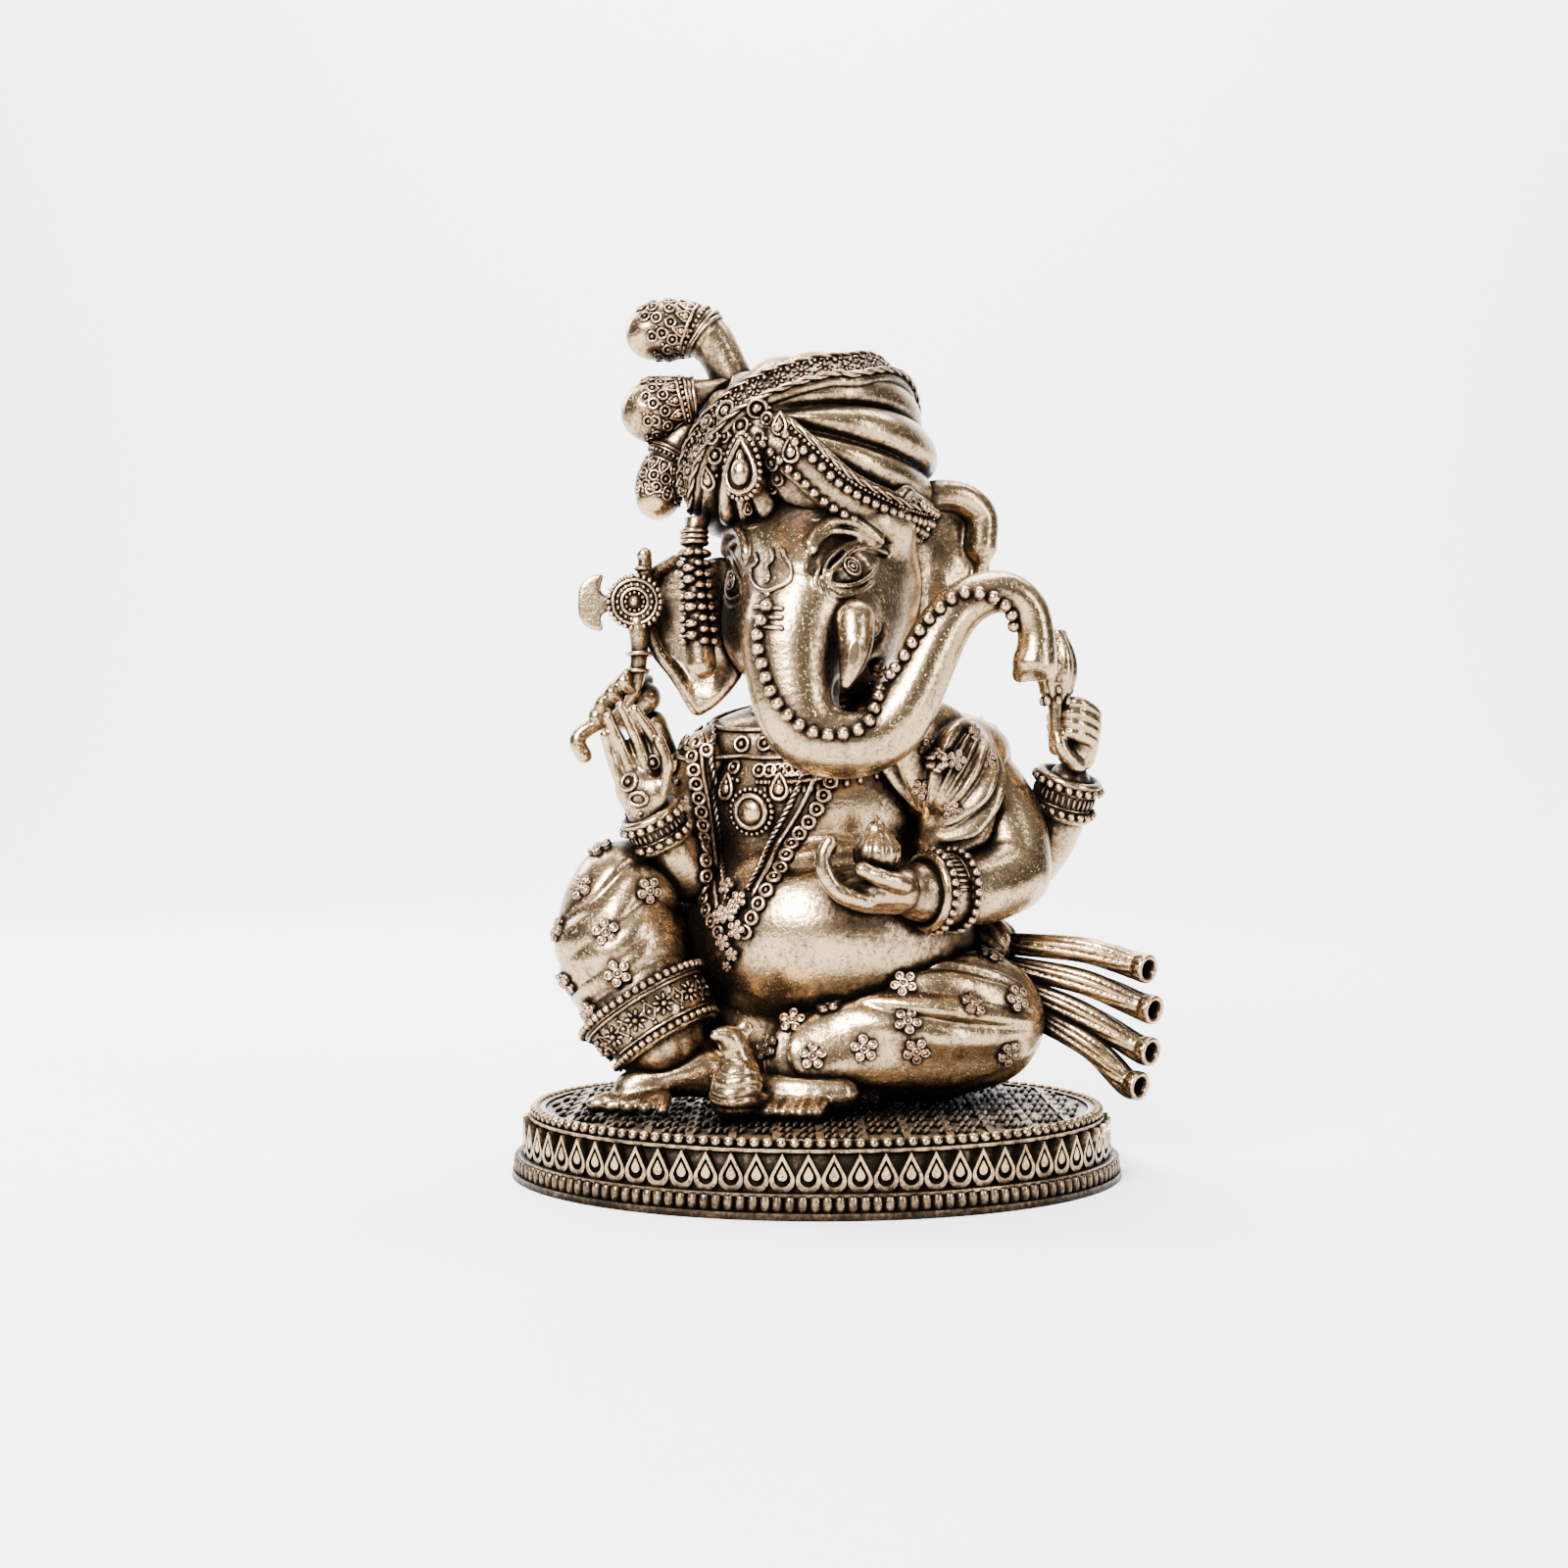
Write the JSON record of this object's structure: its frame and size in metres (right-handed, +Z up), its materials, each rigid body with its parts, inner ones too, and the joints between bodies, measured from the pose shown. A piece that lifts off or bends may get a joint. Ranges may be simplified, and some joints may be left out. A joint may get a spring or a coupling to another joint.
{
  "type": "hindu deity statuette",
  "caption": "Seated elephant-headed deity statuette in antique gold castings, with turban, jewellery, axe and sweet, on an oval beaded plinth.",
  "frame": {"origin": "centre of the oval plinth's flat underside", "axes": "+Z up through the figure, -Y out of its front, +X to the figure's own left"},
  "size_m": [0.0928, 0.066, 0.1258],
  "materials": {
    "antique_gold": "antiqued gold plating, burnished on the high spots, near black in the recesses",
    "warm_gold_trim": "warmer, rubbed beads and ornaments with dark gaps between them",
    "dark_weave": "dark patinated basket weave"
  },
  "bodies": {
    "root": {"base_plinth": "antique_gold", "base_woven_top": "dark_weave", "base_upper_beads": "warm_gold_trim", "base_lower_beads": "warm_gold_trim", "base_teardrops": "warm_gold_trim", "torso": "antique_gold", "right_front_arm": "antique_gold", "left_front_arm": "antique_gold", "right_back_arm": "antique_gold", "left_back_arm": "antique_gold", "right_leg": "antique_gold", "left_leg": "antique_gold", "right_ankle_band": "warm_gold_trim", "right_foot": "antique_gold", "left_foot": "antique_gold", "head": "antique_gold", "trunk": "antique_gold", "left_eye": "antique_gold", "right_eye": "antique_gold", "left_tusk": "antique_gold", "turban": "antique_gold", "turban_crest_band": "warm_gold_trim", "turban_left_band": "warm_gold_trim", "turban_brooch": "warm_gold_trim", "forehead_band": "antique_gold", "plume_upper": "antique_gold", "plume_middle": "antique_gold", "plume_lower": "antique_gold", "left_ear": "antique_gold", "right_ear": "antique_gold", "right_tassel": "warm_gold_trim", "right_front_hand": "antique_gold", "left_front_hand": "antique_gold", "axe": "antique_gold", "lotus_bud": "antique_gold", "right_back_hand": "antique_gold", "left_back_hand": "antique_gold", "right_front_bracelet": "warm_gold_trim", "left_front_bracelet": "warm_gold_trim", "left_back_bracelet": "warm_gold_trim", "modak": "antique_gold", "shawl": "antique_gold", "sash_knot": "antique_gold", "sash_tail_1": "antique_gold", "sash_tail_2": "antique_gold", "sash_tail_3": "antique_gold", "sash_tail_4": "antique_gold", "round_pendant": "warm_gold_trim", "long_necklace": "warm_gold_trim", "necklace_pendant": "warm_gold_trim", "collar_necklace": "warm_gold_trim", "mouse": "antique_gold"}
  },
  "joints": []
}
